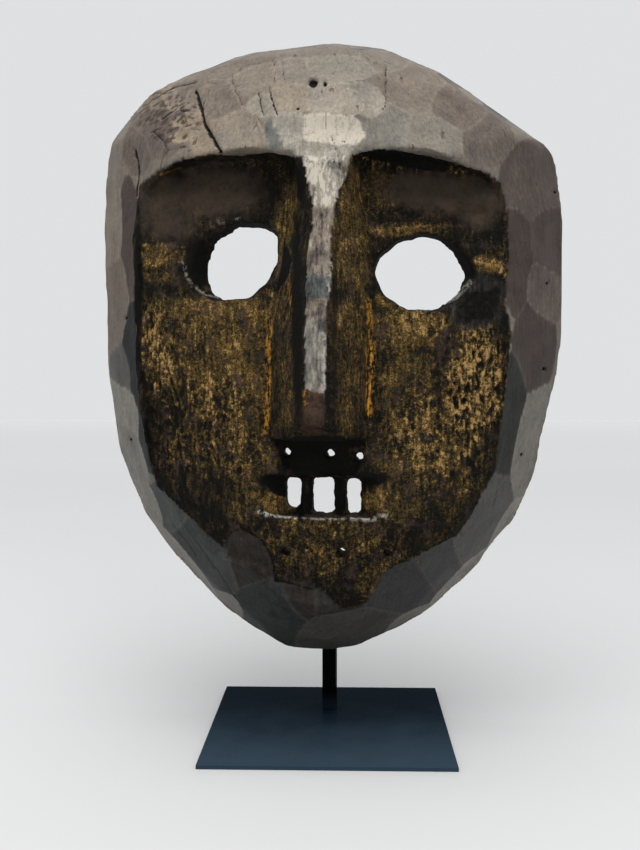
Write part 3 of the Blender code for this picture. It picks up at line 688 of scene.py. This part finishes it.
def hollowRelief(carving, area):
    random.seed(9)
    bites = np.zeros(carving.count)
    places = np.flatnonzero(area > 0.8)
    for pick in random.sample(range(len(places)), hollowMarks["count"]):
        centre = places[pick]
        along = (carving.up - carving.up[centre]) / random.uniform(*hollowMarks["long"])
        side = (carving.across - carving.across[centre]) / random.uniform(*hollowMarks["wide"])
        away = (carving.out - carving.out[centre]) / hollowMarks["thick"]
        bite = random.uniform(*hollowMarks["bite"]) * (1 - along ** 2 - side ** 2 - away ** 2)
        bites = np.maximum(bites, bite)
    return (-bites + hollowMarks["noise"] * carving.wander) * area


# where the mesh is finer or coarser than the even one; reaches in photo pixels
finer = {"rim": 0.4, "besideLines": 2, "barkRise": 1, "roundPits": 3, "facing": 0.02, "hollow": 0.5}
coarser = {"hollow": 0.9, "backward": 0.35, "roundHoles": 1.2}


def nearDetail(carving, area, rim):
    near = (rim > finer["rim"]) & (carving.facing > mask["squarely"])
    for line, half, depth in mask["cracks"] + mask["notches"] + face["fibres"] + face["gouges"]:
        near |= strokeGap(carving, line) < half * 2 + finer["besideLines"]
    for x, y, reachX, reachY, turn, rise in face["bark"]:
        if rise > finer["barkRise"]:
            near |= oval(carving, x, y, reachX, reachY, turn) < 1
    for x, y, radius, depth in mask["pits"]:
        reach = radius + finer["roundPits"]
        near |= oval(carving, x, y, reach, reach) < 1
    near |= oval(carving, *mask["mouthFine"]) < 1
    return near & (carving.facing > finer["facing"]) & (area["hollow"] < finer["hollow"])


def carveMask():
    piece = remeshed("mask", "carved_mask", mask["voxel"])
    carving = Carving(piece.data)
    print("mask remeshed:", carving.count, "points")
    area = regions(carving)
    plain = (area["hollow"] > coarser["hollow"]) & (carving.normals[:, 1] > coarser["backward"])
    plain &= oval(carving, *mask["mouthKept"]) > 1
    for x, y, reachX, reachY, turn in face["holes"]:
        plain &= oval(carving, x, y, reachX, reachY, turn) > coarser["roundHoles"]
    thinned(piece, plain, mask["keepShare"])
    carving = Carving(piece.data)
    print("hollow thinned:", carving.count, "points")
    area = regions(carving)
    around = carving.spread(area["outside"], mask["blurRounds"])
    calm = smooth(around, *mask["calmFrom"]) * area["outside"]
    carving.soften(calm * (1 - smooth(carving.normals[:, 1], *mask["backward"])), mask["softRounds"])
    rims = np.zeros(carving.count)
    for x, y, reachX, reachY, turn in face["holes"]:
        rims = np.maximum(rims, 1 - smooth(oval(carving, x, y, reachX, reachY, turn), 0.9, 1.1))
    carving.soften(rims, mask["rimRounds"])
    rim = hewn(carving, area["outside"] * (1 - area["face"]))[3]
    carving = refined(piece, nearDetail(carving, area, rim))
    area = regions(carving)
    carving.wander = carving.noisy(mask["wanderSize"], 3)
    bites, tone, warmth, rim = hewn(carving, area["outside"] * (1 - area["face"]))
    cracks, notches = scratched(carving, mask["cracks"]), scratched(carving, mask["notches"])
    pits, pitDark = pitted(carving)
    relief, fibres, gouges, raised, barked = faceRelief(carving, area["face"])
    worn, dirt = wornRelief(carving, area["worn"])
    back = hollowRelief(carving, area["hollow"])
    swell = mask["swell"] * area["outside"] * (1 - area["face"]) * (1 - area["hollow"])
    slots = 1 - smooth(oval(carving, *mask["slotEdge"]), 0.8, 1.0)
    teeth = mask["slotRag"] * carving.wander * slots
    carving.push(relief + worn + back + swell + teeth - cracks - notches - bites - pits)
    edge = area["outside"] * (1 - smooth(np.abs(carving.facing), *mask["edgeFacing"]))
    carving.soften(edge, mask["edgeRounds"])
    low, high = (np.array(corner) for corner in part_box("mask"))
    carving.places = np.clip(carving.places, low, high)
    carving.write()
    print("facets, gouges and cracks cut")

    # soot and painted shade: the dark patches, and darker gouges
    sootedAndShaded = np.maximum(painted(carving, "charAndShade"), 0.4 * np.clip(gouges / 0.6, 0, 1))
    # painted shade: the walls of the eye holes painted near black
    for x, y, reachX, reachY, turn in face["holes"]:
        walls = (oval(carving, x, y, reachX, reachY, turn) < 1.1) & (carving.facing < 0.5)
        sootedAndShaded = np.maximum(sootedAndShaded, walls * 1.0)
    sootedAndShaded = np.maximum(sootedAndShaded * area["face"], np.clip((cracks + notches) / 0.9, 0, 1))
    front = carving.facing > mask["inView"]
    earth = np.clip(painted(carving, "earth") + 0.5 * np.clip(fibres / 0.5, 0, 1), 0, 1)
    for name, values in {
            "worn": area["worn"], "hollow": area["hollow"], "tone": tone, "warmth": warmth, "rim": rim,
            "soot": np.maximum(sootedAndShaded, pitDark), "earth": earth, "panel": painted(carving, "panels"),
            "amber": lined(carving, "amber") * front, "rust": lined(carving, "rust") * front, "dirt": dirt,
            "lit": lined(carving, "edges") * front, "raised": raised, "bark": barked,
            "scratchy": painted(carving, "scratchy"), "ridge": area["ridge"]}.items():
        carving.keep(name, values)
    print("colours laid on")
    return piece


woods = {
    "slate": ((0.0, (0.010, 0.012, 0.012)), (0.25, (0.060, 0.066, 0.063)), (0.5, (0.132, 0.138, 0.128)),
              (0.75, (0.225, 0.225, 0.205)), (1.0, (0.40, 0.39, 0.35))),
    "brown": ((0.0, (0.014, 0.010, 0.008)), (0.25, (0.074, 0.056, 0.049)), (0.5, (0.165, 0.132, 0.100)),
              (0.75, (0.275, 0.215, 0.145)), (1.0, (0.44, 0.36, 0.26))),
    "dirt": (0.042, 0.030, 0.022),
    "soot": (0.0035, 0.0032, 0.0028),
    "sunk": ((0.0, (0.0028, 0.0028, 0.0022)), (0.28, (0.0165, 0.0120, 0.0058)),
             (0.52, (0.055, 0.036, 0.011)), (0.76, (0.130, 0.077, 0.021)), (1.0, (0.33, 0.205, 0.080))),
    "plum": (0.040, 0.026, 0.024),
    "moss": (0.0070, 0.0085, 0.0052),
    "panel": ((0.3, (0.014, 0.0115, 0.0095)), (0.7, (0.060, 0.043, 0.029))),
    "scratched": ((0.35, (0.009, 0.009, 0.0085)), (0.62, (0.026, 0.025, 0.022)), (0.72, (0.13, 0.12, 0.10))),
    "amber": (0.46, 0.21, 0.020),
    "rust": (0.052, 0.026, 0.013),
    "lit": (0.46, 0.43, 0.36),
    "back": ((0.0, (0.028, 0.018, 0.011)), (0.5, (0.075, 0.050, 0.032)), (1.0, (0.15, 0.105, 0.07))),
}


# noises of the wood: scale, detail, roughness, stretch, turn, warp
grains = {
    "blotch": (110, 5, 0.6),
    "grit": (640, 6, 0.7),
    "speck": (1600, 3, 0.6),
    "fibre": (900, 5, 0.6, (1, 1, 0.09), (0, 0, 0), 0.4),
    "strand": (800, 4, 0.6, (1, 1, 0.18), (0, 0, 0), 0.3),
    "hair": (330, 4, 0.55, (1, 1, 0.045), (0, 0, 0), 0.5),
    "plum": (170, 4, 0.6),
    "moss": (260, 5, 0.65, (1, 1, 1), (0, 0, 0), 0.6),
    "slant": (760, 3, 0.55, (1, 1, 0.07), (0, math.radians(38), 0)),
}


def maskFinish():
    wood = Finish("old_wood", Specular_IOR_Level=0.08)
    worn, tone, soot, earth = (wood.held(name) for name in ("worn", "tone", "soot", "earth"))
    blotch, grit, speck, fibre, strand, hair, plum, moss, slant = (
        wood.grainOf(*settings) for settings in grains.values())

    uneven = (blotch - 0.5) * 0.45 + (grit - 0.5) * 0.60 + (fibre - 0.5) * 0.45 + (speck - 0.5) * 0.30
    streaks = (strand - 0.5) * 1.6 + (blotch - 0.5) * 1.3
    # the facets' tone carries painted highlight and reflection as well as the wood's own grey and brown
    shade = tone + (uneven + wood.held("ridge") * streaks) * (tone * 1.3 + 0.22) + wood.held("rim") * 0.09
    slate, brown = wood.ramp(shade, *woods["slate"]), wood.ramp(shade, *woods["brown"])
    outside = wood.mix(wood.held("warmth"), slate, brown)
    hairline = wood.step(hair, 0.635, 0.66) * wood.step(blotch, 0.45, 0.6)
    pores = wood.step(speck * 0.45 + grit * 0.55, 0.59, 0.69)
    outside = wood.mix(pores * 0.6, outside, woods["dirt"])
    outside = wood.mix(hairline * 0.75, outside, woods["dirt"])
    outside = wood.mix(wood.step(wood.held("dirt") + (grit - 0.5) * 0.6, 0.45, 0.75) * 0.85, outside,
                       woods["dirt"])

    ragged = ((grit - 0.5) * 1.3 + (strand - 0.5) * 0.8 + (blotch - 0.5) * 0.8 + (speck - 0.5) * 1.0
              + (wood.held("raised") - 0.5) * 0.9)
    level = earth * 0.58 + 0.07 + ragged * (wood.held("bark") * 0.45 + 1.3)
    sunk = wood.ramp(level, *woods["sunk"])
    sunk = wood.mix(wood.step(plum, 0.53, 0.68) * 0.55, sunk, woods["plum"])
    sunk = wood.mix(wood.step(moss, 0.54, 0.64) * 0.75, sunk, woods["moss"])
    panel = wood.ramp(blotch * 0.6 + grit * 0.4, *woods["panel"])
    # painted shade under the brow darkens these panels
    sunk = wood.mix(wood.held("panel"), sunk, panel)
    sunk = wood.mix(wood.held("scratchy"), sunk, wood.ramp(slant, *woods["scratched"]))

    back = wood.ramp(wood.step(fibre * 0.5 + blotch * 0.5, 0.35, 0.65), *woods["back"])
    colour = wood.mix(worn, sunk, outside)
    colour = wood.mix(wood.held("hollow"), colour, back)
    colour = wood.mix(wood.held("rust") * wood.step(grit, 0.35, 0.6), colour, woods["rust"])
    amber = wood.held("amber") * wood.step(grit * 0.5 + strand * 0.5, 0.46, 0.57)
    colour = wood.mix(amber, colour, woods["amber"])
    # soot and painted shade, near black: dark patches, cracks, holes and the eye holes' walls
    colour = wood.mix(wood.step(soot + (grit - 0.5) * 0.9, 0.30, 0.80), colour, woods["soot"])
    colour = wood.mix(wood.held("lit") * wood.step(grit, 0.40, 0.56), colour, woods["lit"])

    rough = 0.82 - worn * 0.30 + (grit - 0.5) * 0.4
    coarse = wood.bump(grit * 0.6 + strand * 0.4, 0.7 * mm, 0.6)
    fine = wood.bump(speck * 0.5 + fibre + hairline * -0.6, 0.3 * mm, 0.45, coarse)
    return wood.finished(Base_Color=colour, Roughness=rough, Normal=fine)


carvedMask = carveMask()
carvedMask.data.materials.append(maskFinish())
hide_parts("mask")
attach(carvedMask, "root")
print("mask finished")


# The stand

stand = {
    "nodes": ("stand_base", "stand_post", "stand_crossbar", "screw_left", "screw_right"),
    "bare": (0.0036, 0.0082, 0.0140),
    # painted sheen: the reflection that makes the plate paler towards the front
    "paintedSheen": (0.026, 0.045, 0.063),       # towards the front of the plate
    # the post and the crossbar: black paint, darkened further with painted shade
    "upright": (0.0016, 0.0020, 0.0024),    # the post and the crossbar
    "uprightFrom": (2 * mm, 10 * mm),
    "fleck": (0.05, 0.055, 0.06),
    "rough": 0.30,
    "screw": ((0.40, (0.028, 0.028, 0.030)), (0.70, (0.090, 0.087, 0.082))),
    "screwRough": 0.38,
}


def standFinish():
    # satin blue-black coating; painted reflection makes the plate paler towards the front, and painted shade
    # darkens the post and the crossbar, which are black paint
    steel = Finish("stand_steel", Specular_IOR_Level=0.001)
    cloud, speck = steel.grainOf(45, 5, 0.6), steel.grainOf(900, 3, 0.6)
    spot = steel.add("ShaderNodeTexCoord", None, out="Object")
    depth = steel.add("ShaderNodeSeparateXYZ", None, spot, out="Y")
    height = steel.add("ShaderNodeSeparateXYZ", None, spot, out="Z")
    # painted sheen, paler towards the front of the plate
    paintedSheen = steel.step(depth * -10 + (cloud - 0.5) * 0.5, -0.35, 0.55)
    colour = steel.mix(paintedSheen, stand["bare"], stand["paintedSheen"])
    # painted shade on the post and the crossbar
    colour = steel.mix(steel.step(height, *stand["uprightFrom"]), colour, stand["upright"])
    colour = steel.mix(steel.step(speck, 0.66, 0.74) * 0.5, colour, stand["fleck"])
    rough = stand["rough"] + (cloud - 0.5) * 0.15 + (speck - 0.5) * 0.15
    return steel.finished(Base_Color=colour, Roughness=rough, Normal=steel.bump(speck, 0.05 * mm, 0.3))


def screwFinish():
    # blackened steel, rubbed brighter in spots by the driver
    steel = Finish("screw_steel", Metallic=0.8)
    speck = steel.grainOf(1500, 4, 0.6)
    colour = steel.ramp(speck, *stand["screw"])
    rough = stand["screwRough"] + (speck - 0.5) * 0.3
    return steel.finished(Base_Color=colour, Roughness=rough, Normal=steel.bump(speck, 0.04 * mm, 0.3))


def dressStand():
    coated, blackened = standFinish(), screwFinish()
    for node in stand["nodes"]:
        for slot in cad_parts[node].material_slots:
            slot.material = blackened if node.startswith("screw") else coated


dressStand()
print("stand dressed")


# Floor and light

studio = {
    # distance from the middle in metres, and how pale the floor is there, so that it looks even
    "floor": ((0.0, 0.52), (0.30, 0.58), (0.8, 0.68), (1.6, 0.78)),
    "glow": ((0.0, 0.0), (0.35, 0.0), (1.2, 0.06), (4.0, 0.17)),    # and how much it glows of itself
    "backdrop": (0.735, 0.750, 0.760),
    # light from in front, from behind and from above, through a soft world
    "world": ((0.0, (0.16, 0.165, 0.17)), (0.5, (0.55, 0.56, 0.57)), (1.0, (0.95, 0.96, 0.97))),
    # lights: place, size, power
    "key": ((-0.05, -0.30, 0.95), 0.8, 9.0),
    "front": ((0.15, -1.3, 0.6), 0.9, 5.0),
}


def makeWorld():
    world = bpy.data.worlds.new("studio")
    bpy.context.scene.world = world
    world.use_nodes = True
    nodes, links = world.node_tree.nodes, world.node_tree.links
    spot = nodes.new("ShaderNodeTexCoord")
    ramp, seen = nodes.new("ShaderNodeValToRGB"), nodes.new("ShaderNodeLightPath")
    share, pick = nodes.new("ShaderNodeMapRange"), nodes.new("ShaderNodeMix")
    pick.data_type = "RGBA"
    lean = nodes.new("ShaderNodeVectorMath")
    lean.operation = "DOT_PRODUCT"
    lean.inputs[1].default_value = (0, 0.8, 0.6)
    links.new(spot.outputs["Generated"], lean.inputs[0])
    links.new(lean.outputs["Value"], share.inputs["Value"])
    share.inputs["From Min"].default_value = -1
    links.new(share.outputs["Result"], ramp.inputs["Fac"])
    stops = ramp.color_ramp.elements
    stops.new(0.5)
    for stop, (place, colour) in zip(stops, studio["world"]):
        stop.position, stop.color = place, (*colour, 1)
    pick.inputs[7].default_value = (*studio["backdrop"], 1)
    links.new(seen.outputs["Is Camera Ray"], pick.inputs[0])
    links.new(ramp.outputs["Color"], pick.inputs[6])
    links.new(pick.outputs[2], nodes["Background"].inputs["Color"])


def floorFinish():
    pale = Finish("pale_floor", Roughness=0.7, Specular_IOR_Level=0.1)
    spot = pale.add("ShaderNodeTexCoord", None, out="Object")
    reach = pale.add("ShaderNodeVectorMath", {"operation": "LENGTH"}, spot, out="Value")
    widest = studio["floor"][-1][0]
    stops = [(place / widest, (tone, tone, tone)) for place, tone in studio["floor"]]
    glow = [(place / studio["glow"][-1][0], (tone, tone, tone)) for place, tone in studio["glow"]]
    pale.shader.inputs["Emission Strength"].default_value = 1
    return pale.finished(Base_Color=pale.ramp(reach / widest, *stops),
                         Emission_Color=pale.ramp(reach / studio["glow"][-1][0], *glow))


def makeStudio():
    bm = bmesh.new()
    bmesh.ops.create_grid(bm, x_segments=1, y_segments=1, size=4)
    mesh = bpy.data.meshes.new("floor")
    bm.to_mesh(mesh)
    bm.free()
    floor = bpy.data.objects.new("floor", mesh)
    bpy.context.scene.collection.objects.link(floor)
    mesh.materials.append(floorFinish())
    makeWorld()
    for name in ("key", "front"):
        place, size, power = studio[name]
        lamp = bpy.data.objects.new(name, bpy.data.lights.new(name, "AREA"))
        bpy.context.scene.collection.objects.link(lamp)
        lamp.data.size, lamp.data.energy = size, power
        lamp.location = place
        lamp.rotation_euler = (Vector((0, 0, 0.15)) - lamp.location).to_track_quat("-Z", "Y").to_euler()
    bpy.context.scene.view_settings.view_transform = "Standard"


makeStudio()
print("studio lit")
